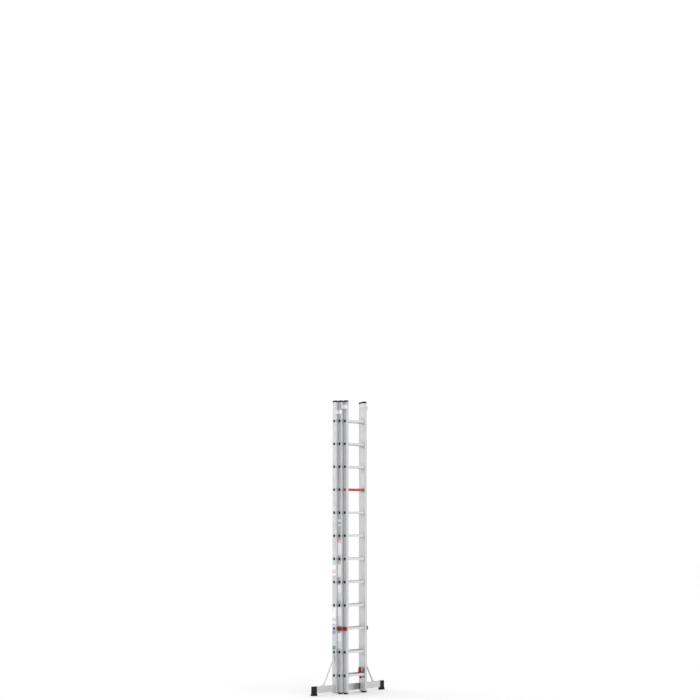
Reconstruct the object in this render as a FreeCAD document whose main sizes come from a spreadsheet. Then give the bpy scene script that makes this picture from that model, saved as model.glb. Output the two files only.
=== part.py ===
import FreeCAD, Part
import math
import os
import re
import Sketcher

# Sliding ladder: a rear section on a wide stabiliser bar, with a middle and a front section nested inside it.
# Millimetres. +X is to the climber's right, +Y points from the climber to the rear section, +Z is up.
# The origin is on the floor, under the middle of the closed ladder.

SIZES = {
    # sections
    "rung_pitch": 280, "rung_count": 12, "first_rung": 220,
    "clear_width": 280, "section_gap": 3, "section_pitch": 58,
    "stile_width": 31.5, "stile_depth": 68.5, "stile_wall": 1.8, "stile_corner": 3,
    "stile_bottom": 20, "stile_length": 3512,
    "groove_width": 5, "groove_depth": 0.7, "groove_spacing": 18,
    # rungs and the plugs in their ends
    "rung_size": 30, "rung_wall": 1.8, "rib_width": 3, "rib_depth": 0.8, "rib_pitch": 6,
    "collar_size": 36, "collar_length": 3, "plug_length": 12, "plug_proud": 1.2,
    # caps and feet of the stiles
    "cap_height": 22, "cap_radius": 14, "cap_insert": 25,
    "foot_height": 20, "foot_edge": 3, "foot_round": 2, "foot_insert": 40, "tread_width": 3, "tread_depth": 2,
    "tread_pitch": 9, "end_flange": 4,
    # stabiliser bar, its end feet, its buffers and its struts
    "bar_length": 1184, "bar_depth": 26, "bar_height": 78, "bar_bottom": 29,
    "bar_wall": 2, "bar_corner": 3, "bar_groove": 4, "bar_groove_depth": 0.8, "bar_groove_pitch": 19,
    "bar_overall": 1202, "sleeve_length": 64, "sleeve_wall": 3, "sleeve_top": 110, "sleeve_round": 1.8,
    "pad_length": 74, "pad_width": 46, "pad_height": 26, "pad_chamfer": 6.5, "pad_rim": 3,
    "buffer_width": 28, "buffer_height": 72, "buffer_gap": 0.5, "buffer_round": 4,
    "strut_width": 20, "strut_thickness": 4, "strut_reach": 174, "strut_bend": 435, "strut_tab": 36,
    "bolt_radius": 4, "bolt_head_radius": 6.5, "bolt_head": 4, "bolt_length": 14, "bar_bolt_rise": 20,
    # upper guide brackets and their rivets
    "guide_height": 48, "rear_guide_bottom": 3384, "middle_guide_bottom": 3446,
    "guide_clearance": 2.5, "guide_leg": 10, "guide_skin": 3, "guide_lip_gap": 1, "guide_wrap": 6,
    "rivet_radius": 2.4, "rivet_head_radius": 4.5, "rivet_head": 1.6, "rivet_length": 6, "rivet_rise": 15,
    # lower guide blocks round the ends of the third rung
    "block_rung": 2, "block_leg": 14, "block_height": 46, "block_back": 22.75, "block_lip": 3,
    "block_wrap": 6, "block_spigot": 10,
    # swinging rung hooks and their brackets
    "front_pawl_width": 46, "middle_pawl_width": 13, "front_pawl_slant": 12, "middle_pawl_slant": 5,
    "hook_inset": 5, "hook_back": 29, "hook_rise": 21.5, "pawl_half": 6, "pawl_length": 60, "lip_start": 44.5,
    "lip_reach": 5, "heel_radius": 5.9, "cheek": 3.5, "cheek_gap": 1, "web_front": 14, "web_skin": 4,
    "cheek_back": 11, "bracket_top": 30, "bracket_step": 14, "bracket_bottom": 48,
    "tongue_near": 0.2, "tongue_far": 0.75, "pin_gap": 0.5,
    "pin_radius": 3, "pin_clearance": 0.05, "pin_head_radius": 5, "pin_head": 2,
}

STEPS_OUT = {"front": 0, "middle": 1, "rear": 2}
SIDES = {"left": -1, "right": 1}
RED_RUNG = 8
ON_AXIS = "0.0001"  # a sketch can't hold a dimension of exactly nothing

doc = FreeCAD.newDocument("ladder")
sheet = doc.addObject("Spreadsheet::Sheet", "Sizes")
for row, (alias, value) in enumerate(SIZES.items(), start=1):
    sheet.set(f"A{row}", alias.replace("_", " "))
    sheet.set(f"B{row}", str(value))
    sheet.setAlias(f"B{row}", alias)
doc.recompute()
parts = []


def linked(expression):
    """The expression with each size's name turned into its spreadsheet cell."""
    return re.sub(r"[a-z]+(_[a-z]+)*", lambda m: f"Sizes.{m[0]}" if m[0] in SIZES else m[0], expression)


def number(expression):
    return float(sheet.evalExpression(linked(expression)))


def bind(target, **settings):
    """Bind properties to the sheet; a double underscore in a keyword stands for a dot."""
    for name, expression in settings.items():
        target.setExpression(name.replace("__", "."), linked(str(expression)))


def place(target, x="0", y="0", z="0"):
    bind(target, Placement__Base__x=x, Placement__Base__y=y, Placement__Base__z=z)


def keep(target, label):
    """Give a finished sub-part the name that its file takes."""
    target.Label = label
    parts.append(target)
    return target


# ---------------------------------------------------------------- PartDesign helpers

def new_body(name):
    return doc.addObject("PartDesign::Body", name)


def new_sketch(body, plane, offset="0"):
    sketch = body.newObject("Sketcher::SketchObject", body.Name + "_sketch")
    origin_plane = next(item for item in body.Origin.OriginFeatures if item.Role == plane)
    sketch.AttachmentSupport = [(origin_plane, "")]
    sketch.MapMode = "FlatFace"
    bind(sketch, AttachmentOffset__Base__z=offset)
    return sketch


def dimension(sketch, kind, geometry, point, expression):
    """Bind one coordinate of a point, measured from the sketch's origin, to the sheet."""
    index = sketch.addConstraint(Sketcher.Constraint(kind, -1, 1, geometry, point, number(expression)))
    sketch.setExpression(f"Constraints[{index}]", linked(expression))


def outline(sketch, points, last_radius=None):
    """A closed polygon whose corners are pairs of expressions; its last edge can be an arc that sags."""
    corners = [FreeCAD.Vector(number(x), number(y), 0) for x, y in points]
    edges = [Part.LineSegment(start, end) for start, end in zip(corners, corners[1:] + corners[:1])]
    if last_radius:
        start, end = corners[-1], corners[0]
        radius = number(last_radius)
        sag = radius - math.sqrt(radius ** 2 - (start - end).Length ** 2 / 4)
        edges[-1] = Part.Arc(start, (start + end) / 2 - FreeCAD.Vector(0, sag, 0), end)
    first = sketch.GeometryCount
    for edge in edges:
        sketch.addGeometry(edge, False)
    for step, (x, y) in enumerate(points):
        previous = first + (step - 1) % len(points)
        sketch.addConstraint(Sketcher.Constraint("Coincident", previous, 2, first + step, 1))
        dimension(sketch, "DistanceX", first + step, 1, x)
        dimension(sketch, "DistanceY", first + step, 1, y)
    if last_radius:
        bind_radius(sketch, first + len(points) - 1, last_radius)


def bind_radius(sketch, geometry, radius):
    index = sketch.addConstraint(Sketcher.Constraint("Radius", geometry, number(radius)))
    sketch.setExpression(f"Constraints[{index}]", linked(radius))


def rectangle(sketch, low_x, high_x, low_y, high_y):
    outline(sketch, [(low_x, low_y), (high_x, low_y), (high_x, high_y), (low_x, high_y)])


def centred(sketch, width, height):
    rectangle(sketch, f"-({width}) / 2", f"({width}) / 2", f"-({height}) / 2", f"({height}) / 2")


def circle(sketch, x, y, radius):
    centre = FreeCAD.Vector(number(x), number(y), 0)
    index = sketch.addGeometry(Part.Circle(centre, FreeCAD.Vector(0, 0, 1), number(radius)), False)
    dimension(sketch, "DistanceX", index, 3, x)
    dimension(sketch, "DistanceY", index, 3, y)
    bind_radius(sketch, index, radius)


def pad(body, sketch, length, symmetric=False, reverse=False):
    feature = body.newObject("PartDesign::Pad", body.Name + "_pad")
    feature.Profile = sketch
    feature.SideType = "Symmetric" if symmetric else "One side"
    feature.Reversed = reverse
    bind(feature, Length=length)
    return feature


def pocket(body, sketch, length=None, reverse=False):
    """Cut a profile through the whole body both ways, or to a length along the sketch's normal."""
    doc.recompute()
    before = body.Shape.Volume
    feature = body.newObject("PartDesign::Pocket", body.Name + "_pocket")
    feature.Profile = sketch
    if length is None:
        feature.SideType = "Symmetric"
        feature.Type = "ThroughAll"
    else:
        feature.SideType = "One side"
        feature.Reversed = reverse
        bind(feature, Length=length)
    doc.recompute()
    if body.Shape.Volume >= before:
        raise RuntimeError(f"a pocket in {body.Name} removed nothing")
    return feature


def round_edges(body, radius, chosen, kind="Fillet"):
    """Fillet or chamfer the edges of the body that a test picks."""
    doc.recompute()
    base = body.Tip
    names = [f"Edge{i}" for i, edge in enumerate(base.Shape.Edges, start=1) if chosen(edge)]
    feature = body.newObject(f"PartDesign::{kind}", f"{body.Name}_{kind.lower()}")
    feature.Base = (base, names)
    bind(feature, **{"Radius" if kind == "Fillet" else "Size": radius})
    body.Tip = feature
    doc.recompute()
    return feature


def along(axis):
    """Picks straight edges that run along one axis."""
    def chosen(edge):
        box = edge.BoundBox
        spans = {"x": box.XLength, "y": box.YLength, "z": box.ZLength}
        return spans[axis] > 0.9 * edge.Length and len(edge.Vertexes) == 2
    return chosen


def at_height(level):
    """Picks edges that lie flat at one height of the body."""
    def chosen(edge):
        return abs(edge.BoundBox.ZMin - level) < 1e-4 and abs(edge.BoundBox.ZMax - level) < 1e-4
    return chosen


# ---------------------------------------------------------------- Part helpers

def cylinder(name, axis, radius, length, x, y, z):
    """A cylinder that starts at a point and runs along +X, +Y or +Z."""
    solid = doc.addObject("Part::Cylinder", name)
    turns = {"x": FreeCAD.Rotation(FreeCAD.Vector(0, 1, 0), 90),
             "y": FreeCAD.Rotation(FreeCAD.Vector(1, 0, 0), -90),
             "z": FreeCAD.Rotation()}
    solid.Placement = FreeCAD.Placement(FreeCAD.Vector(), turns[axis])
    bind(solid, Radius=radius, Height=length)
    place(solid, x, y, z)
    return solid


def headed(name, axis, outward, radius, length, head_radius, head, x, y, z):
    """A bolt, rivet or pin: its head stands outward from a seat point and its shank runs inward."""
    seat = {"x": x, "y": y, "z": z}
    shank_start = dict(seat)
    head_start = dict(seat)
    if outward > 0:
        shank_start[axis] = f"{seat[axis]} - ({length})"
    else:
        head_start[axis] = f"{seat[axis]} - ({head})"
    shank = cylinder(name + "_shank", axis, radius, length, *shank_start.values())
    top = cylinder(name + "_head", axis, head_radius, head, *head_start.values())
    joined = doc.addObject("Part::MultiFuse", name)
    joined.Shapes = [shank, top]
    return joined


def group(label, members):
    compound = doc.addObject("Part::Compound", label)
    compound.Links = members
    return keep(compound, label)


# ---------------------------------------------------------------- where things are

def outer_face(section):
    """Distance from the middle plane to the outer faces of a section's stiles."""
    return f"(clear_width / 2 + stile_width + {STEPS_OUT[section]} * (stile_width + section_gap))"


def inner_face(section):
    return f"({outer_face(section)} - stile_width)"


def section_y(section):
    return f"(({STEPS_OUT[section]} - 1) * section_pitch)"


def rung_height(number_from_floor):
    return f"(first_rung + {number_from_floor} * rung_pitch)"


# ---------------------------------------------------------------- stiles

def make_stile(section, side):
    """A hollow extrusion with shallow grooves in both sides and a hole for every rung."""
    body = new_body(f"{section}_{side}_stile")
    sketch = new_sketch(body, "XY_Plane")
    centred(sketch, "stile_width", "stile_depth")
    pad(body, sketch, "stile_length")
    round_edges(body, "stile_corner", along("z"))
    sketch = new_sketch(body, "XY_Plane")
    centred(sketch, "stile_width - 2 * stile_wall", "stile_depth - 2 * stile_wall")
    for face in (-1, 1):
        for place_on_face in (-1, 1):
            middle = f"{place_on_face} * groove_spacing"
            shallow = f"{face} * (stile_width / 2 - groove_depth)"
            proud = f"{face} * (stile_width / 2 + groove_depth)"
            rectangle(sketch, shallow, proud, f"{middle} - groove_width / 2", f"{middle} + groove_width / 2")
    pocket(body, sketch)
    sketch = new_sketch(body, "YZ_Plane")
    height = "first_rung - stile_bottom"
    rectangle(sketch, "-rung_size / 2", "rung_size / 2",
              f"{height} - rung_size / 2", f"{height} + rung_size / 2")
    hole = pocket(body, sketch)
    pattern = body.newObject("PartDesign::LinearPattern", body.Name + "_rung_holes")
    pattern.Originals = [hole]
    pattern.Direction = (sketch, ["V_Axis"])
    pattern.Mode = "Spacing"
    bind(pattern, Offset="rung_pitch", Occurrences="rung_count")
    body.Tip = pattern
    if section == "rear":
        cut_bar_window(body, side)
    place(body, f"{SIDES[side]} * ({outer_face(section)} - stile_width / 2)", section_y(section),
          "stile_bottom")
    return keep(body, body.Name)


def cut_bar_window(body, side):
    """The rear stiles let the stabiliser bar through and take its bolts and the strut's bolt."""
    local_bottom = "bar_bottom - stile_bottom"
    sketch = new_sketch(body, "YZ_Plane")
    rectangle(sketch, "-bar_depth / 2", "bar_depth / 2", local_bottom, f"{local_bottom} + bar_height")
    pocket(body, sketch)
    sketch = new_sketch(body, "XZ_Plane", "-stile_depth / 2")
    for rise in (-1, 1):
        circle(sketch, ON_AXIS, f"{local_bottom} + bar_height / 2 + {rise} * bar_bolt_rise", "bolt_radius")
    pocket(body, sketch, "stile_wall * 2", reverse=True)
    sketch = new_sketch(body, "YZ_Plane", f"{SIDES[side]} * stile_width / 2")
    circle(sketch, ON_AXIS, "strut_bend + strut_tab / 2 - stile_bottom", "bolt_radius")
    pocket(body, sketch, "stile_wall * 2", reverse=SIDES[side] < 0)


# ---------------------------------------------------------------- rungs and plugs

def make_rung_pattern(section):
    """One rung of a section, centred on its own axis: a ribbed square tube with a collar at each stile."""
    body = new_body(f"{section}_rung")
    sketch = new_sketch(body, "YZ_Plane")
    half = "rung_size / 2"
    points = [(f"-{half}", f"-{half}"), (half, f"-{half}"), (half, half)]
    for rib in (2, 1, 0, -1, -2):
        right = f"{rib} * rib_pitch + rib_width / 2"
        left = f"{rib} * rib_pitch - rib_width / 2"
        points += [(right, half), (right, f"{half} - rib_depth"), (left, f"{half} - rib_depth"), (left, half)]
    outline(sketch, points + [(f"-{half}", half)])
    pad(body, sketch, f"2 * {outer_face(section)}", symmetric=True)
    for side in SIDES.values():
        offset = f"{side} * {inner_face(section)}"
        sketch = new_sketch(body, "YZ_Plane", offset)
        centred(sketch, "collar_size", "collar_size")
        pad(body, sketch, "collar_length", reverse=side > 0)
    sketch = new_sketch(body, "YZ_Plane")
    centred(sketch, "rung_size - 2 * rung_wall", "rung_size - 2 * rung_wall")
    pocket(body, sketch)
    return body


def make_rungs(section):
    """Placed copies of the section's rung, the lowest first."""
    pattern = make_rung_pattern(section)
    rungs = []
    for step in range(SIZES["rung_count"]):
        rung = doc.addObject("Part::Compound", f"{section}_rung_{step + 1:02d}")
        rung.Links = [pattern]
        place(rung, "0", section_y(section), rung_height(step))
        rungs.append(rung)
    return rungs


def make_plug(section, side, step):
    """A square plug: its core fills the end of a rung and its flat head covers the rung's end."""
    name = f"{section}_{side}_plug_{step + 1:02d}"
    blocks = []
    for piece, start, length, size in (("core", f"({outer_face(section)} - plug_length)", "plug_length",
                                        "(rung_size - 2 * rung_wall)"),
                                       ("head", outer_face(section), "plug_proud", "rung_size")):
        block = doc.addObject("Part::Box", f"{name}_{piece}")
        bind(block, Length=length, Width=size, Height=size)
        x = start if side == "right" else f"-{start} - {length}"
        place(block, x, f"{section_y(section)} - {size} / 2", f"{rung_height(step)} - {size} / 2")
        blocks.append(block)
    plug = doc.addObject("Part::MultiFuse", name)
    plug.Shapes = blocks
    return plug


def make_plugs(section):
    steps = range(SIZES["rung_count"])
    if section != "rear":
        steps = [step for step in steps if step != SIZES["block_rung"]]
    plugs = {step: [make_plug(section, side, step) for side in SIDES] for step in steps}
    if section == "front":
        group("front_red_rung_plugs", plugs.pop(RED_RUNG))
    group(f"{section}_rung_plugs", [plug for pair in plugs.values() for plug in pair])


# ---------------------------------------------------------------- caps and feet of the stiles

def insert(body, length, reverse):
    """The core of a cap or foot, which fills the hollow of the stile."""
    sketch = new_sketch(body, "XY_Plane")
    centred(sketch, "stile_width - 2 * stile_wall", "stile_depth - 2 * stile_wall")
    pad(body, sketch, length, reverse=reverse)


def make_cap(section, side):
    """A domed cap on the top of a stile."""
    body = new_body(f"{section}_{side}_cap")
    sketch = new_sketch(body, "XY_Plane")
    centred(sketch, "stile_width", "stile_depth")
    pad(body, sketch, "cap_height")
    round_edges(body, "stile_corner", along("z"))
    round_edges(body, "cap_radius", at_height(number("cap_height")))
    insert(body, "cap_insert", reverse=True)
    place(body, f"{SIDES[side]} * ({outer_face(section)} - stile_width / 2)", section_y(section),
          "stile_bottom + stile_length")
    return body


def make_foot(section, side):
    """A rubber foot with a rocker sole, one arc from front to back with two grooves across it."""
    body = new_body(f"{section}_{side}_foot")
    sketch = new_sketch(body, "YZ_Plane")
    half = "stile_depth / 2"
    sag = "(foot_height - foot_edge)"
    corners = [(half, "-foot_edge"), (half, ON_AXIS), (f"-{half}", ON_AXIS), (f"-{half}", "-foot_edge")]
    outline(sketch, corners, last_radius=f"(({half}) ^ 2 + {sag} ^ 2) / (2 * {sag})")
    pad(body, sketch, "stile_width", symmetric=True)
    round_edges(body, "foot_round", lambda edge: edge.Curve.TypeId == "Part::GeomCircle")
    sketch = new_sketch(body, "YZ_Plane")
    for groove in (-1, 1):
        middle = f"{groove} * tread_pitch"
        rectangle(sketch, f"{middle} - tread_width / 2", f"{middle} + tread_width / 2",
                  "-foot_height - tread_depth", "-foot_height + tread_depth")
    pocket(body, sketch)
    insert(body, "foot_insert", reverse=False)
    place(body, f"{SIDES[side]} * ({outer_face(section)} - stile_width / 2)", section_y(section),
          "stile_bottom")
    return keep(body, body.Name)


def make_rear_end(side):
    """The plug in the bottom of a rear stile, which stays clear of the floor and the bar."""
    body = new_body(f"rear_{side}_end")
    sketch = new_sketch(body, "XY_Plane")
    centred(sketch, "stile_width", "stile_depth")
    pad(body, sketch, "end_flange", reverse=True)
    insert(body, "bar_bottom - stile_bottom - end_flange", reverse=False)
    place(body, f"{SIDES[side]} * ({outer_face('rear')} - stile_width / 2)", section_y("rear"),
          "stile_bottom")
    return body


# ---------------------------------------------------------------- stabiliser bar

def make_bar():
    """A hollow bar with a grooved front, through both rear stiles."""
    body = new_body("stabiliser_bar")
    sketch = new_sketch(body, "YZ_Plane")
    centred(sketch, "bar_depth", "bar_height")
    pad(body, sketch, "bar_length", symmetric=True)
    round_edges(body, "bar_corner", along("x"))
    sketch = new_sketch(body, "YZ_Plane")
    centred(sketch, "bar_depth - 2 * bar_wall", "bar_height - 2 * bar_wall")
    for groove in (-1, 0, 1):
        middle = f"{groove} * bar_groove_pitch"
        rectangle(sketch, "-bar_depth / 2 - bar_groove_depth", "-bar_depth / 2 + bar_groove_depth",
                  f"{middle} - bar_groove / 2", f"{middle} + bar_groove / 2")
    pocket(body, sketch)
    sketch = new_sketch(body, "XZ_Plane", "-bar_depth / 2")
    for side in SIDES.values():
        for rise in (-1, 1):
            circle(sketch, f"{side} * ({outer_face('rear')} - stile_width / 2)", f"{rise} * bar_bolt_rise",
                   "bolt_radius")
    pocket(body, sketch, "bar_wall * 2", reverse=True)
    sketch = new_sketch(body, "XY_Plane", "bar_height / 2")
    for side in SIDES.values():
        circle(sketch, f"{side} * {strut_bolt_x()}", ON_AXIS, "bolt_radius")
    pocket(body, sketch, "bar_wall * 2")
    place(body, "0", section_y("rear"), "bar_bottom + bar_height / 2")
    return keep(body, body.Name)


def make_bar_foot(side):
    """A moulded foot: a sleeve over the bar's end on a wider pad with a rounded rim."""
    sign = SIDES[side]
    body = new_body(f"{side}_bar_foot")
    sketch = new_sketch(body, "XY_Plane")
    centred(sketch, "pad_length", "pad_width")
    pad(body, sketch, "pad_height")
    round_edges(body, "pad_chamfer", along("z"))
    round_edges(body, "pad_rim", at_height(0))
    round_edges(body, "pad_chamfer", at_height(number("pad_height")), kind="Chamfer")
    sketch = new_sketch(body, "XY_Plane", "pad_height / 2")
    centred(sketch, "sleeve_length", "bar_depth + 2 * sleeve_wall")
    pad(body, sketch, "sleeve_top - pad_height / 2")
    round_edges(body, "sleeve_round", at_height(number("sleeve_top")))
    sketch = new_sketch(body, "YZ_Plane", f"-{sign} * pad_length / 2")
    rectangle(sketch, "-bar_depth / 2", "bar_depth / 2", "bar_bottom", "bar_bottom + bar_height")
    depth = "pad_length / 2 + bar_length / 2 - (bar_overall - sleeve_length) / 2"
    pocket(body, sketch, depth, reverse=sign > 0)
    place(body, f"{sign} * (bar_overall - sleeve_length) / 2", section_y("rear"), "0")
    return keep(body, body.Name)


def make_buffer(side):
    """A rubber pad on the front of the bar, just clear of the back of the middle section's stile."""
    body = new_body(f"{side}_bar_buffer")
    sketch = new_sketch(body, "XZ_Plane")
    centred(sketch, "buffer_width", "buffer_height")
    pad(body, sketch, "section_pitch - (bar_depth + stile_depth) / 2 - buffer_gap")
    round_edges(body, "buffer_round", along("y"))
    place(body, f"{SIDES[side]} * ({outer_face('middle')} - stile_width / 2)",
          f"{section_y('rear')} - bar_depth / 2", "bar_bottom + bar_height / 2")
    return body


def strut_bolt_x():
    return f"({outer_face('rear')} + strut_reach + strut_tab / 2)"


def make_strut(side):
    """A flat bar bent twice: one end lies on the stile's outer face, the other on top of the bar."""
    sign = SIDES[side]
    rise = "(strut_bend - bar_bottom - bar_height)"
    bar_top = "bar_bottom + bar_height"
    face = outer_face("rear")
    upper_miter = f"strut_thickness * tan(atan(strut_reach / {rise}) / 2)"
    lower_miter = f"strut_thickness * tan(atan({rise} / strut_reach) / 2)"
    body = new_body(f"{side}_strut")
    sketch = new_sketch(body, "XZ_Plane")
    profile = [(face, "strut_bend + strut_tab"), (f"{face} + strut_thickness", "strut_bend + strut_tab"),
               (f"{face} + strut_thickness", f"strut_bend + {upper_miter}"),
               (f"{face} + strut_reach + {lower_miter}", f"{bar_top} + strut_thickness"),
               (f"{face} + strut_reach + strut_tab", f"{bar_top} + strut_thickness"),
               (f"{face} + strut_reach + strut_tab", bar_top), (f"{face} + strut_reach", bar_top),
               (face, "strut_bend")]
    outline(sketch, [(f"{sign} * ({x})", z) for x, z in profile])
    pad(body, sketch, "strut_width", symmetric=True)
    sketch = new_sketch(body, "XY_Plane", f"{bar_top} - strut_thickness")
    circle(sketch, f"{sign} * {strut_bolt_x()}", ON_AXIS, "bolt_radius")
    pocket(body, sketch, "3 * strut_thickness", reverse=True)
    sketch = new_sketch(body, "YZ_Plane", f"{sign} * {face}")
    circle(sketch, ON_AXIS, "strut_bend + strut_tab / 2", "bolt_radius")
    pocket(body, sketch, "2 * strut_thickness", reverse=sign > 0)
    place(body, "0", section_y("rear"), "0")
    return keep(body, body.Name)


def make_bar_bolts():
    """The bolts that hold the bar in the rear stiles and the struts on stile and bar."""
    bolt = ("bolt_radius", "bolt_length", "bolt_head_radius", "bolt_head")
    bar_bolt_length = "(stile_depth - bar_depth) / 2 + 2 * bar_wall"
    bolts = []
    for side, sign in SIDES.items():
        stile_x = f"{sign} * ({outer_face('rear')} - stile_width / 2)"
        for rise in (-1, 1):
            bolts.append(headed(f"{side}_bar_bolt_{rise + 2}", "y", 1, "bolt_radius", bar_bolt_length,
                                "bolt_head_radius", "bolt_head", stile_x,
                                f"{section_y('rear')} + stile_depth / 2",
                                f"bar_bottom + bar_height / 2 + {rise} * bar_bolt_rise"))
        bolts.append(headed(f"{side}_strut_top_bolt", "x", sign, *bolt,
                            f"{sign} * ({outer_face('rear')} + strut_thickness)", section_y("rear"),
                            "strut_bend + strut_tab / 2"))
        bolts.append(headed(f"{side}_strut_bar_bolt", "z", 1, *bolt, f"{sign} * {strut_bolt_x()}",
                            section_y("rear"), "bar_bottom + bar_height + strut_thickness"))
    group("bar_bolts", bolts)


# ---------------------------------------------------------------- guides of the sliding sections

def make_guide(carrier, sliding, side):
    """A bracket on the top of one section that wraps round the stile of the section that slides in it."""
    sign = SIDES[side]
    plate_back = "(section_pitch - stile_depth / 2)"
    lip_front = "(-stile_depth / 2 - guide_lip_gap - guide_skin)"
    leg_inner = "guide_clearance"
    leg_outer = "guide_clearance + guide_leg"
    body = new_body(f"{carrier}_{side}_guide")
    sketch = new_sketch(body, "XY_Plane")
    plate_end = "stile_width + section_gap"
    profile = [("-guide_wrap", lip_front), (leg_outer, lip_front),
               (leg_outer, f"{plate_back} - guide_skin"), (plate_end, f"{plate_back} - guide_skin"),
               (plate_end, plate_back), (leg_inner, plate_back),
               (leg_inner, f"{lip_front} + guide_skin"), ("-guide_wrap", f"{lip_front} + guide_skin")]
    outline(sketch, [(f"{sign} * ({x})", y) for x, y in profile])
    outline(sketch, [(f"{sign} * ({x})", y) for x, y in [
        (f"{leg_inner} + guide_skin", f"{lip_front} + 2 * guide_skin"),
        (f"{leg_outer} - guide_skin", f"{lip_front} + 2 * guide_skin"),
        (f"{leg_outer} - guide_skin", f"{plate_back} - 2 * guide_skin"),
        (f"{leg_inner} + guide_skin", f"{plate_back} - 2 * guide_skin")]])
    pad(body, sketch, "guide_height")
    sketch = new_sketch(body, "XZ_Plane", f"-{plate_back}")
    for rise in (-1, 1):
        circle(sketch, f"{sign} * {guide_rivet_offset()}", f"guide_height / 2 + {rise} * rivet_rise",
               "rivet_radius")
    pocket(body, sketch, "2 * guide_skin", reverse=True)
    place(body, f"{sign} * {outer_face(sliding)}", section_y(sliding), f"{carrier}_guide_bottom")
    return keep(body, body.Name)


def guide_rivet_offset():
    """Half way across the part of the base plate that the leg leaves free, from the sliding stile."""
    return "((guide_clearance + guide_leg + stile_width + section_gap) / 2)"


def make_guide_rivets(carrier, sliding):
    rivets = []
    for side, sign in SIDES.items():
        for rise in (-1, 1):
            rivets.append(headed(f"{carrier}_{side}_guide_rivet_{rise + 2}", "y", -1, "rivet_radius",
                                 "rivet_length", "rivet_head_radius", "rivet_head",
                                 f"{sign} * ({outer_face(sliding)} + {guide_rivet_offset()})",
                                 f"{section_y(sliding)} + section_pitch - stile_depth / 2 - guide_skin",
                                 f"{carrier}_guide_bottom + guide_height / 2 + {rise} * rivet_rise"))
    return rivets


def make_block(section, side):
    """A moulded block on the end of the third rung that runs on the front face of the stile behind."""
    sign = SIDES[side]
    front = "(-stile_depth / 2 - block_lip)"
    body = new_body(f"{section}_{side}_guide_block")
    sketch = new_sketch(body, "XY_Plane")
    profile = [("-block_wrap", front), ("block_leg", front), ("block_leg", "block_back"),
               (ON_AXIS, "block_back"), (ON_AXIS, "-stile_depth / 2"), ("-block_wrap", "-stile_depth / 2")]
    outline(sketch, [(f"{sign} * ({x})", y) for x, y in profile])
    pad(body, sketch, "block_height", symmetric=True)
    sketch = new_sketch(body, "YZ_Plane", f"{sign} * block_leg / 2")
    centred(sketch, "rung_size - 2 * rung_wall", "rung_size - 2 * rung_wall")
    pad(body, sketch, "block_leg / 2 + block_spigot", reverse=sign > 0)
    place(body, f"{sign} * {outer_face(section)}", section_y(section), rung_height(SIZES["block_rung"]))
    return keep(body, body.Name)


# ---------------------------------------------------------------- rung hooks

def hook_axis(section):
    """Where the hooks of a section pivot: behind its lowest rung and a little above it."""
    return f"({section_y(section)} + hook_back)", "(first_rung + hook_rise)"


def hook_side(section):
    """How far from the middle plane the hook brackets reach, clear of the stiles and the rungs' collars."""
    return f"({inner_face(section)} - hook_inset)"


def web_width(section):
    """The web of a hook bracket spans its cheek and the whole width of the hook."""
    return f"(cheek + cheek_gap + {section}_pawl_width)"


def make_hook_bracket(section, side):
    """A web on the back of the lowest rung, with a tongue below and a cheek that carries the pin."""
    sign = SIDES[side]
    web = web_width(section)
    top = "bracket_top - hook_rise"
    step = "-bracket_step - hook_rise"
    bottom = "-bracket_bottom - hook_rise"
    body = new_body(f"{section}_{side}_hook_bracket")
    sketch = new_sketch(body, "XZ_Plane", "web_front")
    profile = [(ON_AXIS, top), (ON_AXIS, step), (f"{web} * tongue_near", bottom),
               (f"{web} * tongue_far", bottom), (web, step), (web, top)]
    outline(sketch, [(f"{-sign} * ({x})", z) for x, z in profile])
    pad(body, sketch, "web_skin", reverse=True)
    sketch = new_sketch(body, "YZ_Plane")
    rectangle(sketch, "-web_front", "cheek_back", step, top)
    pad(body, sketch, "cheek", reverse=sign > 0)
    sketch = new_sketch(body, "YZ_Plane")
    circle(sketch, ON_AXIS, ON_AXIS, "pin_radius")
    pocket(body, sketch)
    place(body, f"{sign} * {hook_side(section)}", *hook_axis(section))
    return keep(body, body.Name)


def make_hook(section, side):
    """The swinging hook, folded upright: a wedge with a round heel and a lip that drops behind the rung."""
    sign = SIDES[side]
    inner_edge = f"{-sign} * {web_width(section)}"
    body = new_body(f"{section}_{side}_hook")
    sketch = new_sketch(body, "YZ_Plane", f"{-sign} * (cheek + cheek_gap)")
    profile = [("-pawl_half", "-pawl_half"), ("pawl_half", "-pawl_half"), ("pawl_half", "lip_start"),
               ("pawl_half + lip_reach", "lip_start"), ("pawl_half + lip_reach", "pawl_length - lip_reach"),
               ("pawl_half", "pawl_length"), ("-pawl_half", "pawl_length")]
    outline(sketch, profile)
    pad(body, sketch, f"{section}_pawl_width", reverse=sign > 0)
    heel = number("-pawl_half")
    round_edges(body, "heel_radius", lambda edge: at_height(heel)(edge) and along("x")(edge))
    sketch = new_sketch(body, "XZ_Plane")
    outline(sketch, [(inner_edge, "pawl_half"), (inner_edge, "pawl_length"),
                     (f"{inner_edge} + {sign} * {section}_pawl_slant", "pawl_length")])
    pocket(body, sketch)
    sketch = new_sketch(body, "YZ_Plane")
    circle(sketch, ON_AXIS, ON_AXIS, "pin_radius + pin_clearance")
    pocket(body, sketch)
    place(body, f"{sign} * {hook_side(section)}", *hook_axis(section))
    return keep(body, body.Name)


def make_hook_pins(section):
    """Each pin runs from its head beside the hook, through the hook, into the cheek."""
    length = f"({web_width(section)} + pin_gap)"
    pins = [headed(f"{section}_{side}_hook_pin", "x", -sign, "pin_radius", length, "pin_head_radius",
                   "pin_head", f"{sign} * ({hook_side(section)} - {length})", *hook_axis(section))
            for side, sign in SIDES.items()]
    group(f"{section}_hook_pins", pins)


# ---------------------------------------------------------------- assembly

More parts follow.
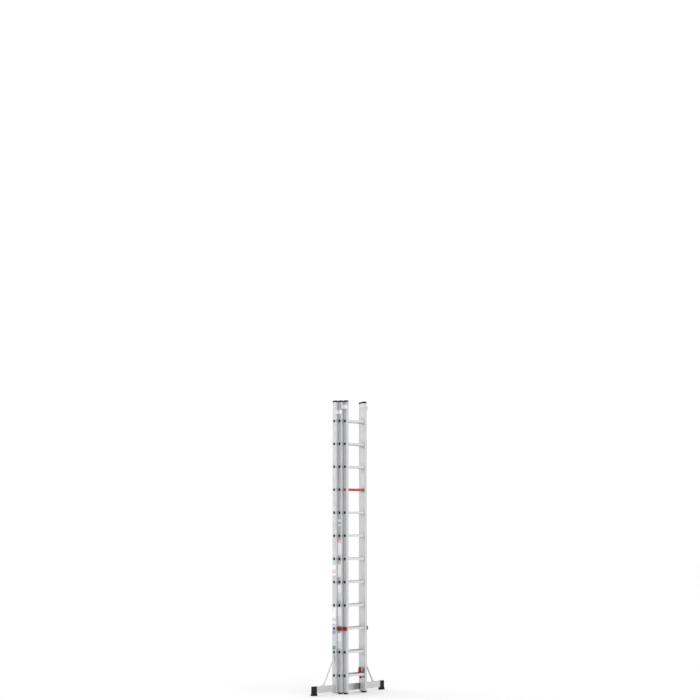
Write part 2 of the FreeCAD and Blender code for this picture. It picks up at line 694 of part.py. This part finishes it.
for section in STEPS_OUT:
    for side in SIDES:
        make_stile(section, side)
    rungs = make_rungs(section)
    if section == "front":
        for rung in rungs:
            keep(rung, rung.Name)
        parts[-SIZES["rung_count"] + RED_RUNG].Label = "front_red_rung"
    else:
        group(f"{section}_rungs", rungs)
    make_plugs(section)
    group(f"{section}_top_caps", [make_cap(section, side) for side in SIDES])

group("rear_stile_ends", [make_rear_end(side) for side in SIDES])
make_bar()
for side in SIDES:
    make_bar_foot(side)
    make_strut(side)
make_bar_bolts()
group("bar_buffers", [make_buffer(side) for side in SIDES])

for section in ("front", "middle"):
    for side in SIDES:
        make_foot(section, side)
        make_block(section, side)
        make_hook_bracket(section, side)
        make_hook(section, side)
    make_hook_pins(section)

for carrier, sliding in (("rear", "middle"), ("middle", "front")):
    for side in SIDES:
        make_guide(carrier, sliding, side)
    group(f"{carrier}_guide_rivets", make_guide_rivets(carrier, sliding))

doc.recompute()
faulty = [item.Name for item in doc.Objects if {"Invalid", "Error"} & set(item.State)]
faulty += [part.Label for part in parts if part.Shape.isNull() or not part.Shape.isValid()]
if faulty:
    raise RuntimeError(f"these objects failed: {faulty}")

os.makedirs("parts", exist_ok=True)
for part in parts:
    part.Shape.exportStep(f"parts/{part.Label}.step")
    box = part.Shape.BoundBox
    spans = ((box.XMin, box.XMax), (box.YMin, box.YMax), (box.ZMin, box.ZMax))
    reach = "  ".join(f"{low:.1f}..{high:.1f}" for low, high in spans)
    print(f"{part.Label}: {len(part.Shape.Solids)} solids, {part.Shape.Volume / 1000:.1f} cm3, {reach}")
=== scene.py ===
"""Sliding ladder in three sections: finishes, labels, foot ridges, floor, studio light and camera."""

import math

import bmesh
import bpy
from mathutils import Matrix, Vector


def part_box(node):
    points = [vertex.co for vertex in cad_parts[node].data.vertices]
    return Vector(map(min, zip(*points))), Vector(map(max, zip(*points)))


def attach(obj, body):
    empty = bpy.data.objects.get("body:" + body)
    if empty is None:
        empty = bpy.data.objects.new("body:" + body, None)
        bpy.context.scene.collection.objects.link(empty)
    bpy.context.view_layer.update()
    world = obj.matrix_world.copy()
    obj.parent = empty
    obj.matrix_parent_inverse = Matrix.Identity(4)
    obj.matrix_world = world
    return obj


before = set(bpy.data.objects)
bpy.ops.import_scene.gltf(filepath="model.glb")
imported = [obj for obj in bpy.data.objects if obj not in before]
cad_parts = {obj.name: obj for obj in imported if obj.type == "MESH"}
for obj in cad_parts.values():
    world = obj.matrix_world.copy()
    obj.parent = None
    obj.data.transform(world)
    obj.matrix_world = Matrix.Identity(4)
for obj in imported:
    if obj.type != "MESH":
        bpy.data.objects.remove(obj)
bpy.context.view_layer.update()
scene = bpy.context.scene

# ---------------------------------------------------------------- camera

VIEW_TURN = math.radians(44.0)
VIEW_TILT = math.radians(5.81)
VIEW_DISTANCE = 20.83
VIEW_SIDE = -0.0204
VIEW_HEIGHT = 2.07
LENS = 86.8


def make_camera():
    data = bpy.data.cameras.new("camera")
    data.lens = LENS
    data.sensor_width = 36.0
    data.clip_end = 200.0
    camera = bpy.data.objects.new("camera", data)
    scene.collection.objects.link(camera)
    forward = Vector((math.sin(VIEW_TURN), math.cos(VIEW_TURN), 0.0))
    right = Vector((math.cos(VIEW_TURN), -math.sin(VIEW_TURN), 0.0))
    camera.location = right * VIEW_SIDE - forward * VIEW_DISTANCE + Vector((0, 0, VIEW_HEIGHT))
    camera.rotation_euler = (math.pi / 2 + VIEW_TILT, 0.0, -VIEW_TURN)
    scene.camera = camera


make_camera()

# ---------------------------------------------------------------- material helpers


class Graph:
    """A material's node tree with one Principled shader, and short ways to add nodes to it."""

    def __init__(self, name):
        self.material = bpy.data.materials.new(name)
        self.material.use_nodes = True
        self.tree = self.material.node_tree
        self.shader = self.tree.nodes["Principled BSDF"]
        self.place = self.add("ShaderNodeTexCoord").outputs["Object"]

    def add(self, kind, **settings):
        node = self.tree.nodes.new(kind)
        for key, value in settings.items():
            setattr(node, key, value)
        return node

    def put(self, node, **inputs):
        """Fill a node's inputs, by name or as i0, i1 and on: a socket is linked, anything else is set."""
        for key, value in inputs.items():
            by_number = key[0] == "i" and key[1:].isdigit()
            socket = node.inputs[int(key[1:]) if by_number else key]
            if isinstance(value, bpy.types.NodeSocket):
                self.tree.links.new(value, socket)
            else:
                socket.default_value = value
        return node

    def stretched(self, scale):
        node = self.put(self.add("ShaderNodeMapping"), Vector=self.place, Scale=scale)
        return node.outputs["Vector"]

    def noise(self, scale, stretch=(1, 1, 1), detail=3.0, rough=0.55):
        node = self.add("ShaderNodeTexNoise")
        self.put(node, Vector=self.stretched(stretch), Scale=scale, Detail=detail, Roughness=rough)
        return node.outputs["Fac"]

    def remap(self, value, low, high, to_low, to_high):
        node = self.add("ShaderNodeMapRange")
        self.put(node, i0=value, i1=low, i2=high, i3=to_low, i4=to_high)
        return node.outputs[0]

    def math(self, operation, first, second=0.0):
        node = self.add("ShaderNodeMath", operation=operation)
        self.put(node, i0=first, i1=second)
        return node.outputs[0]

    def mix(self, factor, first, second, blend="MIX"):
        node = self.add("ShaderNodeMix", data_type="RGBA", blend_type=blend)
        self.put(node, i0=factor, i6=first, i7=second)
        return node.outputs[2]

    def rounded(self, radius):
        return self.put(self.add("ShaderNodeBevel", samples=4), Radius=radius).outputs["Normal"]

    def edges(self, rounded_normal, low=0.02, high=0.25):
        """One along edges, zero on flat faces."""
        geometry = self.add("ShaderNodeNewGeometry")
        dot = self.add("ShaderNodeVectorMath", operation="DOT_PRODUCT")
        self.put(dot, i0=rounded_normal, i1=geometry.outputs["Normal"])
        return self.remap(self.math("SUBTRACT", 1.0, dot.outputs["Value"]), low, high, 0.0, 1.0)

    def bump(self, height, strength, distance, normal=None):
        node = self.put(self.add("ShaderNodeBump"), Height=height, Strength=strength, Distance=distance)
        if normal is not None:
            self.put(node, Normal=normal)
        return node.outputs["Normal"]

    def surface(self, **inputs):
        for key, value in inputs.items():
            self.put(self.shader, **{key.replace("_", " "): value})
        return self.material


def tone(colour, factor):
    return tuple(min(1.0, channel * factor) for channel in colour[:3]) + (1.0,)


# ---------------------------------------------------------------- finishes


def extruded(name, colour, along, roughness, metallic=0.9):
    """Satin aluminium extrusion: fine die lines along one axis, faint mottling and brighter worn edges."""
    g = Graph(name)
    across = 900.0
    stretch = {"x": (3.0, across, across), "z": (across, across, 3.0)}[along]
    lines = g.noise(1.0, stretch, detail=4.0, rough=0.6)
    broad_stretch = {"x": (0.6, 90.0, 90.0), "z": (90.0, 90.0, 0.6)}[along]
    broad = g.noise(1.0, broad_stretch, detail=2.0)
    mottle = g.noise(14.0, detail=4.0)
    normal = g.rounded(0.0009)
    worn = g.edges(normal)
    shade = g.mix(g.remap(lines, 0.35, 0.65, 0.0, 1.0), tone(colour, 0.93), tone(colour, 1.03))
    shade = g.mix(g.remap(broad, 0.35, 0.7, 0.0, 0.45), shade, tone(colour, 0.88))
    shade = g.mix(g.remap(mottle, 0.45, 0.75, 0.0, 0.25), shade, tone(colour, 0.9))
    shade = g.mix(g.math("MULTIPLY", worn, 0.6), shade, tone(colour, 1.15))
    rough = g.remap(lines, 0.3, 0.7, roughness - 0.06, roughness + 0.08)
    rough = g.math("ADD", rough, g.remap(mottle, 0.4, 0.7, -0.03, 0.05))
    return g.surface(Base_Color=shade, Roughness=rough, Metallic=metallic,
                     Normal=g.bump(lines, 0.25, 0.00012, normal))


def tread(name, colour, roughness):
    """Rung aluminium: as extruded, with painted shade darkening the walking face and the underside, and a
    rougher walking face.
    """
    g = Graph(name)
    lines = g.noise(1.0, (4.0, 800.0, 800.0), detail=4.0, rough=0.6)
    mottle = g.noise(22.0, detail=4.0)
    normal = g.rounded(0.0008)
    worn = g.edges(normal)
    facing = g.add("ShaderNodeSeparateXYZ")
    g.put(facing, Vector=g.add("ShaderNodeNewGeometry").outputs["Normal"])
    upward = g.remap(facing.outputs["Z"], 0.55, 0.9, 0.0, 1.0)
    downward = g.remap(facing.outputs["Z"], -0.55, -0.9, 0.0, 0.6)
    shade = g.mix(g.remap(lines, 0.35, 0.65, 0.0, 1.0), tone(colour, 0.94), tone(colour, 1.03))
    shade = g.mix(g.remap(mottle, 0.45, 0.75, 0.0, 0.25), shade, tone(colour, 0.9))
    # Painted shade: faces pointing up, and more weakly faces pointing down, are darkened towards a dark
    # grey, broken up a little by the mottling.
    painted_shade_top_and_underside = g.math("MULTIPLY", g.math("MAXIMUM", upward, downward), g.remap(mottle, 0.3, 0.7, 0.75, 1.0))
    shade = g.mix(painted_shade_top_and_underside, shade, tone(colour, 0.16))
    shade = g.mix(g.math("MULTIPLY", worn, 0.5), shade, tone(colour, 1.12))
    rough = g.remap(lines, 0.3, 0.7, roughness - 0.06, roughness + 0.08)
    return g.surface(Base_Color=shade, Roughness=g.math("ADD", rough, g.math("MULTIPLY", upward, 0.3)),
                     Metallic=0.9, Normal=g.bump(lines, 0.25, 0.00012, normal))


def milled(name, colour, roughness, grain=500.0, metallic=0.95):
    """Plain sheet or cast metal: fine even grain, faint patches and bright edges."""
    g = Graph(name)
    grain_noise = g.noise(grain, detail=3.0)
    patches = g.noise(60.0, detail=4.0)
    normal = g.rounded(0.0007)
    worn = g.edges(normal)
    shade = g.mix(g.remap(patches, 0.35, 0.7, 0.0, 1.0), tone(colour, 1.02), tone(colour, 0.88))
    shade = g.mix(g.math("MULTIPLY", worn, 0.6), shade, tone(colour, 1.15))
    rough = g.remap(grain_noise, 0.3, 0.7, roughness - 0.05, roughness + 0.1)
    return g.surface(Base_Color=shade, Roughness=rough, Metallic=metallic,
                     Normal=g.bump(grain_noise, 0.2, 0.00008, normal))


def painted(name, colour, roughness):
    """Powder paint: slight orange peel, small tone changes and thin paint along the edges."""
    g = Graph(name)
    peel = g.noise(420.0, detail=2.0)
    patches = g.noise(35.0, detail=4.0)
    normal = g.rounded(0.0009)
    worn = g.edges(normal)
    chips = g.math("MULTIPLY", worn, g.remap(g.noise(160.0, detail=5.0), 0.5, 0.62, 0.0, 0.7))
    shade = g.mix(g.remap(patches, 0.35, 0.7, 0.0, 1.0), tone(colour, 1.06), tone(colour, 0.86))
    shade = g.mix(chips, shade, (0.62, 0.45, 0.44, 1.0))
    rough = g.remap(peel, 0.3, 0.7, roughness - 0.04, roughness + 0.08)
    return g.surface(Base_Color=shade, Roughness=rough, Metallic=0.0, Coat_Weight=0.15,
                     Coat_Roughness=0.2, Normal=g.bump(peel, 0.3, 0.0001, normal))


def moulded(name, colour, roughness, grain=900.0, wear=1.5, dust=0.1, gloss=0.15):
    """Moulded plastic or rubber: fine spark grain, paler rubbed edges and a little dust in patches."""
    g = Graph(name)
    fine = g.noise(grain, detail=2.0)
    patches = g.noise(45.0, detail=5.0)
    normal = g.rounded(0.0012)
    worn = g.edges(normal)
    shade = g.mix(g.remap(fine, 0.3, 0.7, 0.0, 1.0), tone(colour, 0.85), tone(colour, 1.15))
    dusty = tone([channel + 0.03 for channel in colour], 1.3)
    rubbed = tone([channel + 0.012 for channel in colour], wear)
    shade = g.mix(g.remap(patches, 0.45, 0.75, 0.0, dust), shade, dusty)
    shade = g.mix(g.math("MULTIPLY", worn, 0.5), shade, rubbed)
    rough = g.math("ADD", g.remap(fine, 0.3, 0.7, roughness - 0.05, roughness + 0.08),
                   g.remap(patches, 0.4, 0.7, 0.0, 0.08))
    return g.surface(Base_Color=shade, Roughness=rough, Metallic=0.0, Specular_IOR_Level=gloss,
                     Normal=g.bump(fine, 0.35, 0.00015, normal))


FINISHES = {
    "stile_aluminium": extruded("stile_finish", (0.585, 0.59, 0.6), "z", 0.44, metallic=0.88),
    "rung_aluminium": tread("rung_finish", (0.65, 0.655, 0.665), 0.4),
    "bar_aluminium": extruded("bar_finish", (0.57, 0.575, 0.585), "x", 0.42),
    "bracket_aluminium": milled("bracket_finish", (0.72, 0.725, 0.735), 0.32, metallic=0.9),
    "steel": milled("zinc_finish", (0.42, 0.425, 0.43), 0.36, grain=900.0),
    "red_rung": painted("red_rung_finish", (0.36, 0.035, 0.04), 0.36),
    "red_plastic": moulded("red_plastic_finish", (0.21, 0.012, 0.016), 0.45,
                           wear=1.3, dust=0.08, gloss=0.3),
    "black_plastic": moulded("black_plastic_finish", (0.003, 0.003, 0.0034), 0.45, gloss=0.1),
    "black_rubber": moulded("black_rubber_finish", (0.006, 0.006, 0.0064), 0.62, grain=600.0, gloss=0.2),
}

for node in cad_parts.values():
    for place in node.material_slots:
        place.material = FINISHES[place.material.name.split(".")[0]]

# ---------------------------------------------------------------- labels on the left stiles

LABEL_WIDTH = 0.056
LABEL_LIFT = 0.0004
LABEL_SUNK = 0.0001
LABEL_CORNER = 0.004
LABEL_COLUMNS = 28
LABEL_ROW = 0.012
LABEL_LEAST_ROWS = 6
# The stile's grooves, measured from the middle of its outer face, and how far the vinyl dips into them.
GROOVE_OFFSET = 0.018
GROOVE_HALF_WIDTH = 0.0018
GROOVE_DIP = 0.0003
PAPER = (0.86, 0.87, 0.88)


def label_finish(name, bands):
    """Satin vinyl with scuffs and a fine grain: each band starts at its share of the label's height."""
    g = Graph(name)
    height = g.add("ShaderNodeSeparateXYZ")
    g.put(height, Vector=g.tree.nodes["Texture Coordinate"].outputs["Generated"])
    ramp = g.add("ShaderNodeValToRGB")
    ramp.color_ramp.interpolation = "CONSTANT"
    while len(ramp.color_ramp.elements) < len(bands):
        ramp.color_ramp.elements.new(1.0)
    for stop, (start, colour) in zip(ramp.color_ramp.elements, bands):
        stop.position = start
        stop.color = tone(colour, 1.0)
    g.put(ramp, Fac=height.outputs["Z"])
    scuffs = g.noise(70.0, (1, 1, 0.3), detail=5.0)
    grain = g.noise(1500.0, detail=2.0)
    shade = g.mix(g.remap(scuffs, 0.5, 0.75, 0.0, 0.3), ramp.outputs["Color"], (0.6, 0.6, 0.6, 1.0))
    return g.surface(Base_Color=shade, Roughness=g.remap(grain, 0.3, 0.7, 0.36, 0.5),
                     Metallic=0.0, Normal=g.bump(grain, 0.15, 0.00005))


def finish_object(name, mesh, material, body, smooth_angle):
    """Add a mesh to the scene, smooth up to an angle in degrees, riding on a body."""
    made = bpy.data.objects.new(name, mesh)
    scene.collection.objects.link(made)
    mesh.materials.append(material)
    mesh.shade_smooth()
    mesh.set_sharp_from_angle(angle=math.radians(smooth_angle))
    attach(made, body)
    return made


def label_grid(shape, face, centre, bottom, top, lift, rows):
    """One face of a label as rows of vertices, narrower at the rounded corners, dipping into the grooves."""
    grid = []
    for j in range(rows + 1):
        z = bottom + (top - bottom) * j / rows
        from_end = min(z - bottom, top - z)
        inset = 0.0
        if from_end < LABEL_CORNER:
            inset = LABEL_CORNER - math.sqrt(LABEL_CORNER ** 2 - (LABEL_CORNER - from_end) ** 2)
        half = LABEL_WIDTH / 2 - inset
        row = []
        for i in range(LABEL_COLUMNS + 1):
            across = -half + 2 * half * i / LABEL_COLUMNS
            in_groove = math.exp(-(((abs(across) - GROOVE_OFFSET) / GROOVE_HALF_WIDTH) ** 2))
            row.append(shape.verts.new((face - lift + GROOVE_DIP * in_groove, centre + across, z)))
        grid.append(row)
    return grid


def rim(grid):
    """The vertices round the edge of a grid, in order."""
    rows, columns = len(grid) - 1, len(grid[0]) - 1
    edge = [grid[0][i] for i in range(columns)]
    edge += [grid[j][columns] for j in range(rows)]
    edge += [grid[rows][i] for i in range(columns, 0, -1)]
    return edge + [grid[j][0] for j in range(rows, 0, -1)]


def make_label(name, section, bottom, top, bands):
    """A thin vinyl strip on the left stile's outer face, pressed a little into its grooves."""
    low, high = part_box(f"{section}_left_stile")
    centre = (low.y + high.y) / 2
    rows = max(LABEL_LEAST_ROWS, round((top - bottom) / LABEL_ROW))
    mesh = bpy.data.meshes.new(name)
    shape = bmesh.new()
    outer = label_grid(shape, low.x, centre, bottom, top, LABEL_LIFT, rows)
    inner = label_grid(shape, low.x, centre, bottom, top, LABEL_SUNK, rows)
    for j in range(rows):
        for i in range(LABEL_COLUMNS):
            shape.faces.new((outer[j][i], outer[j + 1][i], outer[j + 1][i + 1], outer[j][i + 1]))
            shape.faces.new((inner[j][i], inner[j][i + 1], inner[j + 1][i + 1], inner[j + 1][i]))
    rim_outer, rim_inner = rim(outer), rim(inner)
    for k in range(len(rim_outer)):
        following = (k + 1) % len(rim_outer)
        shape.faces.new((rim_outer[k], rim_outer[following], rim_inner[following], rim_inner[k]))
    bmesh.ops.recalc_face_normals(shape, faces=shape.faces)
    shape.to_mesh(mesh)
    shape.free()
    finish_object(name, mesh, label_finish(name + "_vinyl", bands), f"{section}_section", 40)


PINK = (0.75, 0.56, 0.56)
TAN = (0.62, 0.5, 0.47)
GREY = (0.7, 0.71, 0.72)
BLUE = (0.2, 0.28, 0.5)
GREEN = (0.11, 0.27, 0.15)
# Labels by section, from 1: bottom, top, and the bands of colour.
LABELS = {
    "rear": [
        (1.42, 1.54, [(0.0, PAPER), (0.2, PINK), (0.6, PAPER)]),
        (0.905, 1.04, [(0.0, PAPER), (0.9, GREY)]),
        (0.84, 0.875, [(0.0, PAPER), (0.9, GREY)]),
        (0.715, 0.76, [(0.0, BLUE), (0.9, GREY)]),
        (0.53, 0.58, [(0.0, GREEN), (0.9, GREY)])],
    "middle": [
        (2.015, 2.1, [(0.0, GREY), (0.35, BLUE), (0.6, GREY)]),
        (1.665, 1.845, [(0.0, PAPER), (0.8, PINK)]),
        (1.4, 1.59, [(0.0, PAPER), (0.8, TAN)]),
        (1.12, 1.31, [(0.0, GREY), (0.5, PAPER)]),
        (0.82, 1.04, [(0.0, GREY), (0.5, PAPER)]),
        (0.54, 0.73, [(0.0, GREY), (0.5, PAPER)])],
}

for section, labels in LABELS.items():
    for number, (bottom, top, bands) in enumerate(labels, 1):
        make_label(f"{section}_label_{number}", section, bottom, top, bands)

# ---------------------------------------------------------------- moulded ridges on the feet of the bar

SLEEVE_HALF_DEPTH = 0.016
SLEEVE_BOTTOM = 0.026
RIDGE_RADIUS = 0.0016
RIDGE_SUNK = 0.0005
RIDGE_STEPS = 48
RIDGE_POINTS = 8


def make_ridge(name, foot, facing, half_width, half_height):
    """A raised oval ridge on the front or back of a bar foot's sleeve."""
    low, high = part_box(foot)
    face = (low.y + high.y) / 2 + facing * (SLEEVE_HALF_DEPTH - RIDGE_SUNK)
    middle_x = (low.x + high.x) / 2
    middle_z = (SLEEVE_BOTTOM + high.z) / 2
    mesh = bpy.data.meshes.new(name)
    shape = bmesh.new()
    rings = []
    for step in range(RIDGE_STEPS):
        turn = 2 * math.pi * step / RIDGE_STEPS
        ring = []
        for part in range(RIDGE_POINTS):
            around = math.pi * part / (RIDGE_POINTS - 1)
            out = RIDGE_RADIUS * math.cos(around)
            lift = RIDGE_RADIUS * math.sin(around)
            x = middle_x + (half_width + out) * math.cos(turn)
            z = middle_z + (half_height + out) * math.sin(turn)
            ring.append(shape.verts.new((x, face + facing * lift, z)))
        rings.append(ring)
    for step, ring in enumerate(rings):
        following = rings[(step + 1) % RIDGE_STEPS]
        for part in range(RIDGE_POINTS):
            after = (part + 1) % RIDGE_POINTS
            shape.faces.new((ring[part], following[part], following[after], ring[after]))
    bmesh.ops.recalc_face_normals(shape, faces=shape.faces)
    shape.to_mesh(mesh)
    shape.free()
    ridge = finish_object(name, mesh, FINISHES["black_rubber"], "rear_section", 60)


for side in ("left", "right"):
    for facing, where in ((-1, "front"), (1, "back")):
        make_ridge(f"{side}_bar_foot_{where}_ridge", f"{side}_bar_foot", facing, 0.021, 0.03)
        make_ridge(f"{side}_bar_foot_{where}_inner_ridge", f"{side}_bar_foot", facing, 0.013, 0.021)

# ---------------------------------------------------------------- floor, light, view


def make_floor():
    mesh = bpy.data.meshes.new("floor")
    shape = bmesh.new()
    bmesh.ops.create_grid(shape, x_segments=8, y_segments=8, size=60.0)
    shape.to_mesh(mesh)
    shape.free()
    floor = bpy.data.objects.new("floor", mesh)
    floor.location.z = -0.0005
    scene.collection.objects.link(floor)
    g = Graph("floor_finish")
    patches = g.noise(0.4, detail=2.0)
    g.surface(Base_Color=g.mix(patches, (0.86, 0.86, 0.86, 1.0), (0.88, 0.88, 0.88, 1.0)), Roughness=0.9)
    mesh.materials.append(g.material)


BACKDROP_LIGHT = 1.05
ROOM_LIGHT = 0.8
CEILING_LIGHT = 1.1
CEILING_FROM = 0.35
CEILING_FULL = 0.65
# Soft windows and dark walls: compass angle from +Y towards -X, half width, and the light at the middle.
WINDOWS = [(28.0, 36.0, 3.6), (170.0, 73.0, 2.7)]
DARK_WALLS = [(76.0, 48.0, 0.0), (252.0, 44.0, 0.3)]


def make_studio():
    """A white room with a window behind on the left, one in front, and dark walls between them."""
    world = bpy.data.worlds.new("studio")
    world.use_nodes = True
    tree = world.node_tree

    def add(kind, *inputs, **settings):
        node = tree.nodes.new(kind)
        for key, value in settings.items():
            setattr(node, key, value)
        for index, value in enumerate(inputs):
            if isinstance(value, bpy.types.NodeSocket):
                tree.links.new(value, node.inputs[index])
            elif value is not None:
                node.inputs[index].default_value = value
        return node.outputs

    direction = add("ShaderNodeTexCoord")["Generated"]
    level = add("ShaderNodeVectorMath", direction, (1.0, 1.0, 0.0), operation="MULTIPLY")["Vector"]
    level = add("ShaderNodeVectorMath", level, operation="NORMALIZE")["Vector"]
    light = ROOM_LIGHT
    for angle, half_width, middle in WINDOWS + DARK_WALLS:
        toward = (-math.sin(math.radians(angle)), math.cos(math.radians(angle)), 0.0)
        facing = add("ShaderNodeVectorMath", level, toward, operation="DOT_PRODUCT")["Value"]
        share = add("ShaderNodeMapRange", facing, math.cos(math.radians(half_width)), 1.0, 0.0, 1.0,
                    interpolation_type="SMOOTHSTEP")[0]
        light = add("ShaderNodeMix", share, None, light, middle)[0]
    height = add("ShaderNodeSeparateXYZ", direction)["Z"]
    ceiling = add("ShaderNodeMapRange", height, CEILING_FROM, CEILING_FULL, 0.0, 1.0)[0]
    light = add("ShaderNodeMix", ceiling, None, light, CEILING_LIGHT)[0]
    seen = add("ShaderNodeLightPath")["Is Camera Ray"]
    strength = add("ShaderNodeMix", seen, None, light, BACKDROP_LIGHT)[0]
    backdrop = tree.nodes["Background"]
    backdrop.inputs["Color"].default_value = (1.0, 1.0, 1.0, 1.0)
    tree.links.new(strength, backdrop.inputs["Strength"])
    scene.world = world
    scene.view_settings.view_transform = "Standard"


make_floor()
make_studio()
